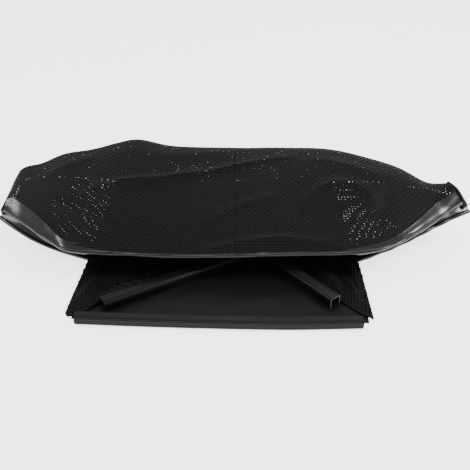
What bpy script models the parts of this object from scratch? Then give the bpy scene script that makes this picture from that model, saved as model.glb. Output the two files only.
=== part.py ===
"""Collapsed mower grass bag: vinyl floor, three clip-on channels, mesh walls and a hemmed mouth.

Frame: metres, +Z up, +X along the wide way, -Y is the mouth side, origin under the middle.
The drafting numbers below are in millimetres: X as in the frame, Y measured back from just
behind the front channel's face, Z up from the ground.
"""
import math

import bpy
import numpy as np

MM = 0.001
Y_MID = 194.81          # half way between the front channel and the rear seam tape
X_MID = 0.51          # half way between the two tips
GAP = 0.4              # clearance between neighbouring pieces
REAR_GAP = 3.0         # clearance along the crown's rear seam
SEAM_GAP = 2.6         # clearance where two cloth panels meet at an angle
MESH_T = 1.8           # mesh cloth
VINYL_T = 1.4          # vinyl sheet
FLOOR_TOP = 1.5
CENTRE = (X_MID, Y_MID, 0.0)

# front channel: web to the front, mouth of the U to the back
FRONT_DEEP = 12.0
FRONT_TALL = 13.6
FRONT_LINE = [(-199.8, 5.4, 0.0), (-110.0, 0.0, 0.0), (-18.5, -3.8, 0.0), (70.0, -5.8, 0.0), (158.5, -3.2, 0.0)]

# side channels: web on top, legs down
SIDE_LONG = 215.0
SIDE_WIDE = 17.0
SIDE_TALL = 13.0
SIDE_WALL = 1.6
SIDE_REST = FLOOR_TOP + GAP
LEFT_FOOT = (-170.0, 38.5, SIDE_REST)
LEFT_HEADING = math.radians(31.5)
RIGHT_FOOT = (129.0, 43.5, SIDE_REST)
RIGHT_HEADING = math.radians(128.0)

# floor outline
FLOOR_LEFT = -206.5
FLOOR_RIGHT = 168.0
FLOOR_BACK = 386.0
FLOOR_FRONT_GAP = 2.2

# upper layer, column by column from the left tip to the right one:
# edge of the mesh at the mouth, back of the crown, foot of the rear wall
UPPER = [
    ((-330, 200, 66), (-337, 284, 66), (-335, 298, 50)),
    ((-318, 199, 69), (-331, 304, 70), (-327, 319, 43)),
    ((-290, 176, 65), (-306, 322, 69), (-301, 348, 31)),
    ((-261, 148, 58), (-272, 339, 77), (-266, 372, 17)),
    ((-230, 120, 47), (-230, 342, 83), (-227, 387, 7)),
    ((-190, 111, 43), (-186, 342, 95), (-186, 391, 3)),
    ((-140, 110, 41), (-150, 339, 101), (-148, 392, 3)),
    ((-74, 110, 39), (-92, 333, 93), (-92, 392, 3)),
    ((0, 109, 41), (0, 333, 90), (0, 392, 3)),
    ((80, 110, 43), (80, 330, 92), (80, 392, 3)),
    ((150, 109, 46), (152, 320, 94), (150, 389, 3)),
    ((205, 121, 48), (203, 302, 89), (200, 375, 8)),
    ((250, 155, 54), (252, 283, 80.5), (248, 343, 22)),
    ((290, 195, 63), (293, 250, 70), (288, 297, 38)),
    ((320, 212, 74), (316, 232, 81), (312, 247, 58)),
]
# mouth edge of the upper hem, tip to tip
UPPER_EDGE = [
    (-332, 191, 58), (-316, 179, 55), (-288, 157, 50), (-258, 133, 45), (-228, 112, 42),
    (-190, 106, 41), (-140, 104, 39), (-74, 103, 36.5), (0, 102, 38), (80, 103, 40),
    (150, 101, 43), (203, 112, 45), (250, 143, 48), (294, 180, 54), (328.5, 204, 62),
]
# front edge of the two lower lips, tip inwards
LEFT_LIP = [(-340.5, 191, 46), (-313, 172, 38), (-284, 158, 28), (-255, 148, 20), (-206, 137, 10)]
RIGHT_LIP = [(342, 203, 49), (328, 198, 46.5), (300, 185, 40), (268, 169, 33), (230, 151, 23.5), (171, 133, 9)]
HEM_WIDE = 20.0
BEAD_R = 2.0
THREAD_R = 0.45

UPPER_COLS = 35
CROWN_ROWS = 9
REAR_ROWS = 5
REAR_SEAM_MARK = 4     # which mark of a column's profile the rear seam runs through


def clear():
    for item in list(bpy.data.objects):
        bpy.data.objects.remove(item, do_unlink=True)


def material(name, colour, roughness, metallic=0.0):
    made = bpy.data.materials.new(name)
    made.use_nodes = True
    shader = made.node_tree.nodes["Principled BSDF"]
    shader.inputs["Base Color"].default_value = (*colour, 1.0)
    shader.inputs["Roughness"].default_value = roughness
    shader.inputs["Metallic"].default_value = metallic
    return made


def frame(point):
    """Drafting millimetres to frame metres."""
    return np.array([point[0] - X_MID, point[1] - Y_MID, point[2]]) * MM


def smooth_line(points, count):
    """Even samples of a Catmull-Rom curve through the points."""
    p = np.array(points, dtype=float)
    p = np.vstack([2 * p[0] - p[1], p, 2 * p[-1] - p[-2]])
    fine = []
    for i in range(1, len(p) - 2):
        for t in np.linspace(0, 1, 24, endpoint=False):
            a = 2 * p[i]
            b = p[i + 1] - p[i - 1]
            c = 2 * p[i - 1] - 5 * p[i] + 4 * p[i + 1] - p[i + 2]
            d = -p[i - 1] + 3 * p[i] - 3 * p[i + 1] + p[i + 2]
            fine.append(0.5 * (a + b * t + c * t * t + d * t ** 3))
    fine.append(p[-2])
    fine = np.array(fine)
    steps = np.linalg.norm(np.diff(fine, axis=0), axis=1)
    run = np.concatenate([[0], np.cumsum(steps)])
    at = np.linspace(0, run[-1], count)
    return np.stack([np.interp(at, run, fine[:, k]) for k in range(3)], axis=1)


def through(points, t):
    """A point of the Catmull-Rom curve through the points, t from 0 to 1 by point number."""
    p = np.array(points, dtype=float)
    p = np.vstack([2 * p[0] - p[1], p, 2 * p[-1] - p[-2]])
    spans = len(p) - 3
    i = min(int(t * spans), spans - 1)
    t = t * spans - i
    i += 1
    a = 2 * p[i]
    b = p[i + 1] - p[i - 1]
    c = 2 * p[i - 1] - 5 * p[i] + 4 * p[i + 1] - p[i + 2]
    d = -p[i - 1] + 3 * p[i] - 3 * p[i + 1] + p[i + 2]
    return 0.5 * (a + b * t + c * t * t + d * t ** 3)


def straight_line(points, count):
    """Samples along straight runs between the points, even by point number."""
    p = np.array(points, dtype=float)
    at = np.linspace(0, len(p) - 1, count)
    return np.stack([np.interp(at, range(len(p)), p[:, k]) for k in range(3)], axis=1)


def add(name, data, finish, collection, origin=None, smooth=True):
    """Puts mesh or curve data in the scene, with the object's origin at the given point."""
    made = bpy.data.objects.new(name, data)
    data.materials.append(finish)
    collection.objects.link(made)
    if origin is not None:
        made.location = frame(origin)
    if smooth and isinstance(data, bpy.types.Mesh):
        data.shade_smooth()
    return made


def sheet(name, grid, thick, finish, collection, origin=CENTRE):
    """A cloth panel: a grid of points given thickness towards its underside."""
    grid = np.array(grid)
    rows, cols = grid.shape[:2]
    points = [tuple(frame(p) - frame(origin)) for line in grid for p in line]
    faces = []
    for r in range(rows - 1):
        for c in range(cols - 1):
            k = r * cols + c
            faces.append((k, k + 1, k + cols + 1, k + cols))
    data = bpy.data.meshes.new(name)
    data.from_pydata(points, [], faces)
    data.update()
    made = add(name, data, finish, collection, origin)
    solid = made.modifiers.new("thickness", "SOLIDIFY")
    solid.thickness = thick * MM
    solid.offset = -1.0
    solid.use_even_offset = True
    solid.use_rim = True
    return made


def swept(name, section, path, finish, collection, origin=CENTRE, flat=True):
    """A closed section carried along a path: section points are (across, up) in millimetres.

    Across is the level direction to the right of travel, up is +Z.
    """
    path = np.array(path, dtype=float)
    ahead = np.gradient(path, axis=0)
    turn = sum(a[0] * b[1] - b[0] * a[1] for a, b in zip(section, section[1:] + section[:1]))
    if turn > 0:
        section = section[::-1]
    points = []
    for p, d in zip(path, ahead):
        d = d / np.linalg.norm(d)
        right = np.cross(d, (0, 0, 1))
        right = right / np.linalg.norm(right)
        up = np.cross(right, d)
        for a, b in section:
            points.append(tuple(frame(p + right * a + up * b) - frame(origin)))
    n = len(section)
    faces = []
    for i in range(len(path) - 1):
        for j in range(n):
            k = (j + 1) % n
            faces.append((i * n + j, i * n + k, (i + 1) * n + k, (i + 1) * n + j))
    last = (len(path) - 1) * n
    faces.append(tuple(range(n - 1, -1, -1)))
    faces.append(tuple(range(last, last + n)))
    data = bpy.data.meshes.new(name)
    data.from_pydata(points, [], faces)
    data.update()
    return add(name, data, finish, collection, origin, smooth=not flat)


def cord(name, path, radius, finish, collection, origin=CENTRE, sides=6):
    """A round cord or thread through the points, with closed ends."""
    data = bpy.data.curves.new(name, "CURVE")
    data.dimensions = "3D"
    line = data.splines.new("POLY")
    line.points.add(len(path) - 1)
    for point, place in zip(line.points, path):
        point.co = (*(frame(place) - frame(origin)), 1.0)
    data.bevel_depth = radius * MM
    data.bevel_resolution = (sides - 4) // 2
    data.use_fill_caps = True
    return add(name, data, finish, collection, origin)


def coons(front, back, left, right, rows, cols):
    """A patch between four edges: front and back run left to right, the others front to back."""
    f = smooth_line(front, cols)
    k = smooth_line(back, cols)
    a = smooth_line(left, rows)
    b = smooth_line(right, rows)
    grid = np.zeros((rows, cols, 3))
    for i, v in enumerate(np.linspace(0, 1, rows)):
        for j, u in enumerate(np.linspace(0, 1, cols)):
            along = (1 - v) * f[j] + v * k[j]
            over = (1 - u) * a[i] + u * b[i]
            corners = (1 - v) * ((1 - u) * f[0] + u * f[-1]) + v * ((1 - u) * k[0] + u * k[-1])
            grid[i, j] = along + over - corners
    return grid


def bump(x, y, start, end, wide, tall):
    """A soft fold along the segment from start to end, in the XY plane."""
    s = np.array(start, dtype=float)
    e = np.array(end, dtype=float)
    run = e - s
    t = np.clip(np.dot(np.array([x, y]) - s, run) / np.dot(run, run), 0, 1)
    away = np.linalg.norm(np.array([x, y]) - s - t * run)
    taper = 0.35 + 0.65 * math.sin(math.pi * min(max(t, 0.0), 1.0))
    return tall * taper * math.exp(-(away / wide) ** 2)


UPPER_FOLDS = [
    ((-175, 240), (120, 330), 16, 5.0),
    ((-75, 118), (30, 150), 13, 3.5),
    ((30, 150), (150, 128), 13, 3.5),
    ((95, 262), (185, 240), 15, 4.0),
    ((-20, 190), (60, 235), 16, 2.5),
    ((-250, 150), (-150, 250), 24, -3.0),
    ((180, 150), (215, 260), 22, -3.0),
]


def upper_profile(column):
    """Front edge, crown and rear wall of one column of the upper layer."""
    edge, crown, foot = (np.array(p, dtype=float) for p in column)
    drop = crown[2] - foot[2]
    reach = foot[1] - crown[1]
    share = min(drop / 85.0, 1.0)
    top = crown + np.array([0, -0.55 * reach, 3.5 * share])
    first = edge + (top - edge) * 0.36 + np.array([0, 0, 4.0 * share])
    second = edge + (top - edge) * 0.70 + np.array([0, 0, 4.5 * share])
    back = crown * 0.55 + foot * 0.45 + np.array([0, 0.20 * reach, 0.05 * drop])
    low = crown * 0.15 + foot * 0.85 + np.array([0, 0.11 * reach, 0.0])
    return [edge, first, second, top, crown, back, low, foot]


def upper_grids():
    """The crown, front edge to seam, and the rear wall, seam to foot, as grids of points."""
    lines = [upper_profile(column) for column in UPPER]
    marks = len(lines[0])
    crown = np.zeros((CROWN_ROWS, UPPER_COLS, 3))
    rear = np.zeros((REAR_ROWS, UPPER_COLS, 3))
    for j, u in enumerate(np.linspace(0, 1, UPPER_COLS)):
        guide = [through([line[m] for line in lines], u) for m in range(marks)]
        fine = smooth_line(guide, 201)
        seam = int(np.argmin(np.linalg.norm(fine - guide[REAR_SEAM_MARK], axis=1)))
        crown[:, j] = smooth_line(fine[:seam + 1], CROWN_ROWS)
        rear[:, j] = smooth_line(fine[seam:], REAR_ROWS)
    for r in range(1, CROWN_ROWS - 1):
        fade = min(1.0, r / 2.0) * min(1.0, (CROWN_ROWS - 1 - r) / 2.0)
        for c in range(1, UPPER_COLS - 1):
            x, y = crown[r, c, :2]
            crown[r, c, 2] += fade * sum(bump(x, y, *fold) for fold in UPPER_FOLDS)
    back = rear[1] - rear[0]
    rear[0] += back / np.linalg.norm(back, axis=1)[:, None] * REAR_GAP
    return crown, rear


def strip(near, far, rows, cols, close):
    """A band between two long edges, held back from both by the clearance."""
    a = smooth_line(near, cols)
    b = smooth_line(far, cols)
    wide = np.linalg.norm(b - a, axis=1)[:, None]
    start = a + (b - a) * (close / wide)
    stop = b - (b - a) * (close / wide)
    return np.array([start + (stop - start) * t for t in np.linspace(0, 1, rows)])


def shifted(points, by):
    return [tuple(np.array(p, dtype=float) + np.array(by)) for p in points]


def channel_section(grooved):
    """The side channel's U, legs down: fine lines along its back, or a well rounded near shoulder."""
    half = SIDE_WIDE / 2
    tall = SIDE_TALL
    inner = half - SIDE_WALL
    if grooved:
        outline = [(-half, 0), (-half, tall - 3.6), (-half + 1.1, tall - 1.0), (-half + 3.6, tall)]
        for across in (-2.8, 0.4, 3.6):
            outline += [(across - 0.6, tall), (across, tall - 0.5), (across + 0.6, tall)]
        outline += [(half - 2.0, tall), (half - 0.6, tall - 0.8), (half, tall - 2.4), (half, 0)]
        outline += [(inner, 0), (inner, tall - 2.2), (inner - 0.7, tall - SIDE_WALL)]
    else:
        outline = [(-half, 0), (-half, tall - 2.4), (-half + 0.6, tall - 0.8), (-half + 2.0, tall)]
        outline += [(half - 4.6, tall), (half - 2.3, tall - 0.8), (half - 0.7, tall - 2.5), (half, tall - 5.0)]
        outline += [(half, 0), (inner, 0), (inner, tall - 5.2), (inner - 1.0, tall - 3.0), (inner - 3.2, tall - SIDE_WALL)]
    outline += [(-inner + 1.4, tall - SIDE_WALL), (-inner, tall - 3.0), (-inner, 0)]
    return outline


def front_section():
    """The front channel's U: web forward with a line near its top, rolled lower edge."""
    deep = FRONT_DEEP
    tall = FRONT_TALL
    wall = 1.6
    return [
        (-deep, tall), (-1.8, tall), (-0.6, tall - 0.5), (-0.9, tall - 1.3), (-0.1, tall - 2.0),
        (0.0, tall - 4.6), (-0.35, tall - 5.0), (0.0, tall - 5.4), (0.0, 5.0), (-0.6, 2.8),
        (-1.8, 0.9), (-3.6, 0.0), (-deep, 0.0), (-deep, wall), (-3.6, wall), (-2.3, 3.4),
        (-1.8, 5.2), (-1.8, tall - 2.6), (-2.6, tall - wall), (-deep, tall - wall),
    ]


def side_path(foot, heading, count):
    """Points along the middle of a side channel's open side, from its foot."""
    ahead = np.array([math.cos(heading), math.sin(heading), 0.0])
    return [np.array(foot) + ahead * d for d in np.linspace(0, SIDE_LONG, count)]


def beside(foot, heading, across, along):
    """A point on the floor measured from a side channel's foot."""
    ahead = np.array([math.cos(heading), math.sin(heading), 0.0])
    right = np.array([math.sin(heading), -math.cos(heading), 0.0])
    return np.array(foot) * np.array([1, 1, 0]) + ahead * along + right * across


def side_channel(name, foot, heading, grooved, finish, collection):
    path = side_path(foot, heading, 2)
    return swept(name, channel_section(grooved), path, finish, collection, foot)


def side_stitches(name, foot, heading, side, finish, collection):
    """The seam thread that runs along a side channel's outer leg."""
    path = []
    for d in np.linspace(6, SIDE_LONG - 6, 14):
        p = beside(foot, heading, side * (SIDE_WIDE / 2 + THREAD_R + 1.2), d)
        path.append((p[0], p[1], SIDE_REST + 4.0))
    return cord(name, path, THREAD_R, finish, collection, foot, 4)


def floor_panel(finish, collection):
    """The vinyl floor: its front edge follows the bowed front channel."""
    bow = smooth_line(FRONT_LINE, 15)
    front = np.array([(x, y + FRONT_DEEP + FLOOR_FRONT_GAP, FLOOR_TOP) for x, y, z in bow])
    front[:, 0] = np.linspace(FLOOR_LEFT, FLOOR_RIGHT, 15)
    back = front.copy()
    back[:, 1] = FLOOR_BACK
    grid = np.array([front + (back - front) * t for t in (0, 0.35, 0.7, 1.0)])
    for row in (1, 2, 3):
        grid[row, :, 1] = np.interp(grid[row, :, 0], [FLOOR_LEFT, FLOOR_RIGHT], [grid[row, 0, 1]] * 2)
    return sheet("floor_panel", grid, FLOOR_TOP, finish, collection)


def gusset_grid(outer, inner, rows, cols, folds):
    """A side wall's mesh folded flat: outer edge on the floor's side, inner edge by the channel."""
    a = straight_line(outer, rows)
    b = straight_line(inner, rows)
    grid = np.array([[a[i] + (b[i] - a[i]) * t for t in np.linspace(0, 1, cols)] for i in range(rows)])
    for i in range(rows):
        for j in range(cols):
            x, y = grid[i, j, :2]
            grid[i, j, 2] += sum(bump(x, y, *fold) for fold in folds)
    return grid


def gussets(finish, collection):
    top = FLOOR_TOP + 0.5 + MESH_T
    far = SIDE_WIDE / 2 + 3.6
    left_in = [(-193, 33, top + 1.5)]
    left_in += [tuple(beside(LEFT_FOOT, LEFT_HEADING, -far, d) + (0, 0, top + 3)) for d in (4, 60, 125)]
    left_in += [(-66, 175, top + 1), (-75, 240, top), (-96, 300, top)]
    left_out = [(-213.5, 25, top + 0.5), (-212, 70, top + 1), (-210, 120, top + 1), (-207, 200, top), (-206, 300, top)]
    right_in = [(157, 31, top + 1.0)]
    right_in += [tuple(beside(RIGHT_FOOT, RIGHT_HEADING, far, d) + (0, 0, top + 2)) for d in (3, 50, 105)]
    right_in += [(58, 190, top + 1), (62, 240, top), (72, 300, top)]
    right_out = [(171.5, 21, top + 0.5), (173, 70, top + 1), (174.5, 120, top + 1), (171, 200, top), (168, 300, top)]
    left_folds = [((-180, 60), (-105, 112), 7.0, 6.0), ((-200, 55), (-190, 130), 8.0, 3.0)]
    right_folds = [((150, 52), (100, 110), 7.0, 5.0), ((165, 45), (160, 130), 8.0, 3.0)]
    left = gusset_grid(left_out, left_in, 13, 9, left_folds)
    right = gusset_grid(right_in, right_out, 13, 9, right_folds)
    sheet("left_gusset", left[:, :, :], MESH_T, finish, collection)
    sheet("right_gusset", right[:, :, :], MESH_T, finish, collection)


def lower_side(tag, lip, back, outer, inner, mesh, vinyl, bead, thread, collection, mirror):
    """One lower lip: hem with a bead in its edge, the mesh behind it and the hem's stitching."""
    edge = smooth_line(lip, 13)
    ahead = np.gradient(edge, axis=0)
    ahead = ahead / np.linalg.norm(ahead, axis=1)[:, None]
    level = np.stack([-ahead[:, 1], ahead[:, 0], np.zeros(len(edge))], axis=1)
    if mirror:
        level = -level
    rise = np.array([0, 0, -0.08])
    seam = edge + (level + rise) * (BEAD_R + HEM_WIDE)
    start = edge + (level + rise) * (BEAD_R + GAP)
    stop = seam - (level + rise) * SEAM_GAP
    band = np.array([start + (stop - start) * t for t in np.linspace(0, 1, 3)])
    front = seam
    patch_front = front if not mirror else front[::-1]
    patch_band = band if not mirror else band[:, ::-1]
    if mirror:
        patch = coons(patch_front, back, inner, outer, 7, 9)
    else:
        patch = coons(patch_front, back, outer, inner, 7, 9)
    sheet(tag + "_lower_mesh", patch, MESH_T, mesh, collection)
    sheet(tag + "_lower_hem", patch_band, VINYL_T, vinyl, collection)
    cord(tag + "_lower_bead", edge - (0, 0, VINYL_T / 2), BEAD_R, bead, collection)
    line = stop - level * 3.0 + (0, 0, THREAD_R + 0.35)
    cord(tag + "_lower_stitches", line, THREAD_R, thread, collection, sides=4)


def build():
    clear()
    collection = bpy.data.collections.new("mower_grass_bag")
    bpy.context.scene.collection.children.link(collection)
    mesh = material("mesh_cloth", (0.016, 0.016, 0.015), 0.62)
    vinyl = material("vinyl_sheet", (0.022, 0.023, 0.025), 0.38)
    gloss = material("vinyl_hem", (0.020, 0.021, 0.022), 0.24)
    rubber = material("channel_plastic", (0.030, 0.030, 0.027), 0.42)
    welt = material("welt_cord", (0.020, 0.020, 0.020), 0.35)
    tape = material("seam_tape", (0.018, 0.018, 0.018), 0.55)
    thread = material("thread", (0.012, 0.012, 0.012), 0.7)

    floor_panel(vinyl, collection)
    gussets(mesh, collection)

    # front channel, its origin on the fold line behind it
    fold = (0.0, FRONT_LINE[0][1] + FRONT_DEEP + 1.0, 0.8)
    line = smooth_line(FRONT_LINE, 11)
    swept("front_binding", front_section(), line, rubber, collection, fold)
    seam = [(x, y + FRONT_DEEP - 3.0, FRONT_TALL + THREAD_R + 0.3) for x, y, z in line[1:-1]]
    cord("front_binding_stitches", seam, THREAD_R, thread, collection, fold, 4)

    side_channel("left_binding", LEFT_FOOT, LEFT_HEADING, False, rubber, collection)
    side_channel("right_binding", RIGHT_FOOT, RIGHT_HEADING, True, rubber, collection)
    side_stitches("left_binding_stitches", LEFT_FOOT, LEFT_HEADING, -1, thread, collection)
    side_stitches("right_binding_stitches", RIGHT_FOOT, RIGHT_HEADING, 1, thread, collection)

    # upper layer, its origin on the rear lift axis
    lift = (0.0, 391.0, 4.0)
    top, rear = upper_grids()
    sheet("upper_mesh", top, MESH_T, mesh, collection, lift)
    sheet("rear_mesh", rear, MESH_T, mesh, collection, lift)
    edge = np.array([through(UPPER_EDGE, u) for u in np.linspace(0, 1, UPPER_COLS)])
    wide = np.linalg.norm(edge - top[0], axis=1)[:, None]
    toward = (edge - top[0]) / wide
    start = top[0] + toward * SEAM_GAP
    stop = edge - toward * (BEAD_R + GAP)
    band = np.array([stop + (start - stop) * t for t in np.linspace(0, 1, 3)])
    sheet("upper_hem", band, VINYL_T, gloss, collection, lift)
    cord("upper_bead", edge - (0, 0, VINYL_T / 2), BEAD_R, welt, collection, lift)
    line = top[1] * 0.25 + top[0] * 0.75 + (0, 0, THREAD_R + 0.6)
    cord("upper_hem_stitches", line[1:-1], THREAD_R, thread, collection, lift, 4)

    # lower lips, left and right of the floor
    left_back = shifted([p[2] for p in UPPER[:6]], (3.5, -4.0, -0.6))
    left_back[-1] = (-209.5, 383, 3.2)
    left_outer = [(-330, 211, 43), (-333, 250, 46), left_back[0]]
    left_inner = [(-209.5, 158, 8.5), (-209.5, 230, 5), (-209.5, 310, 3.6), left_back[-1]]
    lower_side("left", LEFT_LIP, left_back, left_outer, left_inner, mesh, gloss, welt, thread, collection, False)
    right_back = shifted([p[2] for p in UPPER[10:]], (-3.5, -4.0, -0.6))
    right_back[0] = (171.5, 378, 3.2)
    right_outer = [(332, 224, 47), (326, 234, 50), right_back[-1]]
    right_inner = [(176, 156, 8.5), (174, 230, 5), (171.5, 310, 3.6), right_back[0]]
    lower_side("right", RIGHT_LIP, right_back, right_outer, right_inner, mesh, gloss, welt, thread, collection, True)

    # bound seams: rear foot of the bag and the two side creases
    flat = [(-0.8, -1.6), (0.8, -1.6), (0.8, 2.4), (-0.8, 2.4)]
    foot = smooth_line([(-184, 394.2, 1.8), (-90, 394.4, 1.8), (0, 394.4, 1.8), (80, 394.4, 1.8), (146, 392.4, 1.8)], 9)
    swept("rear_seam_tape", flat, foot, tape, collection)
    stand = [(-0.9, -5.0), (0.9, -5.0), (0.9, 5.0), (-0.9, 5.0)]
    left = smooth_line([(-336.5, 203, 53), (-337.5, 240, 55), (-338.0, 274, 55)], 7)
    swept("left_side_tape", stand, left, tape, collection)
    right = smooth_line([(332.5, 209, 58), (326.5, 218, 66), (321.0, 229, 72)], 6)
    swept("right_side_tape", stand, right, tape, collection)


build()
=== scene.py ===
"""Looks for the collapsed grass catcher bag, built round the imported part.

Drafting numbers are in millimetres: X as in the frame, Y measured back from just behind the
front channel's face, Z up from the ground. Cloth is laid thread by thread over the shape of each panel.
"""

import math

import bpy
import numpy as np
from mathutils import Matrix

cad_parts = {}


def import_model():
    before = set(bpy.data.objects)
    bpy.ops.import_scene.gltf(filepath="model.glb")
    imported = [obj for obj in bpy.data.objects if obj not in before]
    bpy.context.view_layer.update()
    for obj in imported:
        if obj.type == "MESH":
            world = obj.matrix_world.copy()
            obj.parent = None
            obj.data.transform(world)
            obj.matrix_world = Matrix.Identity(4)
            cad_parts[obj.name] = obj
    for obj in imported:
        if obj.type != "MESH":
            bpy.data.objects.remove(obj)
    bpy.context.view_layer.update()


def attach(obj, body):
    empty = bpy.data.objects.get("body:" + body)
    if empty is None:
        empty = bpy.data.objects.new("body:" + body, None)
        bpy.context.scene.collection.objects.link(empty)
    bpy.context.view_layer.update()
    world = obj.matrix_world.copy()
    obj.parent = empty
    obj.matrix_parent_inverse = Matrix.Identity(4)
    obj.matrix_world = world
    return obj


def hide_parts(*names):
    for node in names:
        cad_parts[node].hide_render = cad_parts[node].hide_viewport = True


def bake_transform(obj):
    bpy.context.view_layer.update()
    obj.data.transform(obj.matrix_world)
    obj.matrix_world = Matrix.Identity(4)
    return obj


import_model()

MM = 0.001
X_MID = 0.51
Y_MID = 194.81
FLOOR_TOP = 1.5
PITCH = 4.5            # mesh, thread to thread
THREAD_WIDE = 3.15
THREAD_THICK = 0.4
CLOSER = 1.2           # how much fuller the threads lie in the rear wall
WEFT_SHARE = 1.36      # the threads across are flatter and wider than the ones from front to back
WARP_SHARE = 0.72
CAMERA_PLACE = (0, -620.5, 529.0)
CAMERA_TILT = 32.3     # degrees down from level
ROW_ZERO = 232.0       # the weave's rows are counted from this distance back
SEAM_STEP = 88         # the crown's rear seam, in steps down a column

FRONT_DEEP = 12.0
FRONT_TALL = 13.6
FRONT_LINE = [
    (-199.8, 5.4, 0.0), (-110.0, 0.0, 0.0), (-18.5, -3.8, 0.0), (70.0, -5.8, 0.0), (158.5, -3.2, 0.0),
]
SIDE_LONG = 215.0
SIDE_WIDE = 17.0
SIDE_TALL = 13.0
SIDE_WALL = 1.6
SIDE_REST = 1.9
LEFT_FOOT = (-170.0, 38.5, SIDE_REST)
LEFT_HEADING = math.radians(31.5)
RIGHT_FOOT = (129.0, 43.5, SIDE_REST)
RIGHT_HEADING = math.radians(128.0)

UPPER = [
    ((-330, 200, 66), (-337, 284, 66), (-335, 298, 50)),
    ((-318, 199, 69), (-331, 304, 70), (-327, 319, 43)),
    ((-290, 176, 65), (-306, 322, 69), (-301, 348, 31)),
    ((-261, 148, 58), (-272, 339, 77), (-266, 372, 17)),
    ((-230, 120, 47), (-230, 342, 83), (-227, 387, 7)),
    ((-190, 111, 43), (-186, 342, 95), (-186, 391, 3)),
    ((-140, 110, 41), (-150, 339, 101), (-148, 392, 3)),
    ((-74, 110, 39), (-92, 333, 93), (-92, 392, 3)),
    ((0, 109, 41), (0, 333, 90), (0, 392, 3)),
    ((80, 110, 43), (80, 330, 92), (80, 392, 3)),
    ((150, 109, 46), (152, 320, 94), (150, 389, 3)),
    ((205, 121, 48), (203, 302, 89), (200, 375, 8)),
    ((250, 155, 54), (252, 283, 80.5), (248, 343, 22)),
    ((290, 195, 63), (293, 250, 70), (288, 297, 38)),
    ((320, 212, 74), (316, 232, 81), (312, 247, 58)),
]
UPPER_EDGE = [
    (-332, 191, 58), (-316, 179, 55), (-288, 157, 50), (-258, 133, 45), (-228, 112, 42),
    (-190, 106, 41), (-140, 104, 39), (-74, 103, 36.5), (0, 102, 38), (80, 103, 40),
    (150, 101, 43), (203, 112, 45), (250, 143, 48), (294, 180, 54), (328.5, 204, 62),
]
LEFT_LIP = [(-340.5, 191, 46), (-313, 172, 38), (-284, 158, 28), (-255, 148, 20), (-206, 137, 10)]
RIGHT_LIP = [
    (342, 203, 49), (328, 198, 46.5), (300, 185, 40), (268, 169, 33), (230, 151, 23.5), (171, 133, 9),
]

# folds of the upper layer: the ridge's run, how wide, how tall
UPPER_FOLDS = [
    ([(-236, 214), (-190, 228), (-125, 236), (-80, 246), (-33, 259), (49, 285), (95, 292)], 7.0, 5.0),
    ([(-62, 104), (-40, 112), (-3, 121), (57, 129), (114, 120), (150, 108)], 6.5, 4.2),
    ([(93, 190), (120, 212), (150, 224), (176, 218), (194, 203), (199, 178)], 8.0, 4.0),
    ([(-42, 156), (-3, 183), (40, 202), (70, 206)], 9.0, 2.6),
    ([(-262, 205), (-225, 186), (-196, 150)], 12.0, -2.6),
    ([(190, 140), (214, 190), (226, 240)], 12.0, -2.4),
    ([(-140, 290), (-60, 300), (20, 318)], 12.0, 2.0),
    ([(110, 285), (170, 262), (220, 235)], 11.0, 2.4),
    ([(-300, 260), (-262, 290), (-215, 312)], 12.0, 2.0),
]


# ---------------------------------------------------------------- geometry helpers

def world(p):
    """Drafting millimetres to frame metres, for one point or an array of them."""
    return (np.asarray(p, dtype=float) - np.array([X_MID, Y_MID, 0.0])) * MM


def spline(points, per_span=24):
    """Catmull-Rom curve through the points along their first axis."""
    p = np.asarray(points, dtype=float)
    p = np.concatenate([[2 * p[0] - p[1]], p, [2 * p[-1] - p[-2]]])
    out = []
    for i in range(1, len(p) - 2):
        for t in np.linspace(0, 1, per_span, endpoint=False):
            a = 2 * p[i]
            b = p[i + 1] - p[i - 1]
            c = 2 * p[i - 1] - 5 * p[i] + 4 * p[i + 1] - p[i + 2]
            d = -p[i - 1] + 3 * p[i] - 3 * p[i + 1] + p[i + 2]
            out.append(0.5 * (a + b * t + c * t * t + d * t ** 3))
    out.append(p[-2])
    return np.array(out)


def run_of(line):
    return np.concatenate([[0], np.cumsum(np.linalg.norm(np.diff(line, axis=0), axis=1))])


def resample(line, count):
    run = run_of(line)
    at = np.linspace(0, run[-1], count)
    return np.stack([np.interp(at, run, line[:, k]) for k in range(line.shape[1])], axis=1)


def smooth_line(points, count):
    return resample(spline(points), count)


def unit(v):
    return v / np.maximum(np.linalg.norm(v, axis=-1, keepdims=True), 1e-9)


def ridge(x, y, line, wide, tall):
    """Height of a fold whose crest runs along the line, fading at its two ends."""
    line = resample(spline([(*p, 0) for p in line], 8)[:, :2], 24)
    best = np.full(x.shape, 1e9)
    where = np.zeros(x.shape)
    for i in range(len(line) - 1):
        s = line[i]
        run = line[i + 1] - s
        t = np.clip(((x - s[0]) * run[0] + (y - s[1]) * run[1]) / run.dot(run), 0, 1)
        away = np.hypot(x - s[0] - t * run[0], y - s[1] - t * run[1])
        near = away < best
        best = np.where(near, away, best)
        where = np.where(near, (i + t) / (len(line) - 1), where)
    taper = np.sin(math.pi * np.clip(where, 0, 1)) ** 0.6
    return tall * taper * np.exp(-(best / wide) ** 1.5)


def waves(x, y, seed):
    """Small irregular undulation of slack cloth."""
    total = np.zeros(np.shape(x))
    rng = np.random.default_rng(seed)
    for _ in range(9):
        turn = rng.uniform(0, math.pi)
        length = rng.uniform(45, 130)
        phase = rng.uniform(0, 2 * math.pi)
        along = x * math.cos(turn) + y * math.sin(turn)
        total = total + np.sin(along * 2 * math.pi / length + phase) * length / 100
    return total / 5.0


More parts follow.
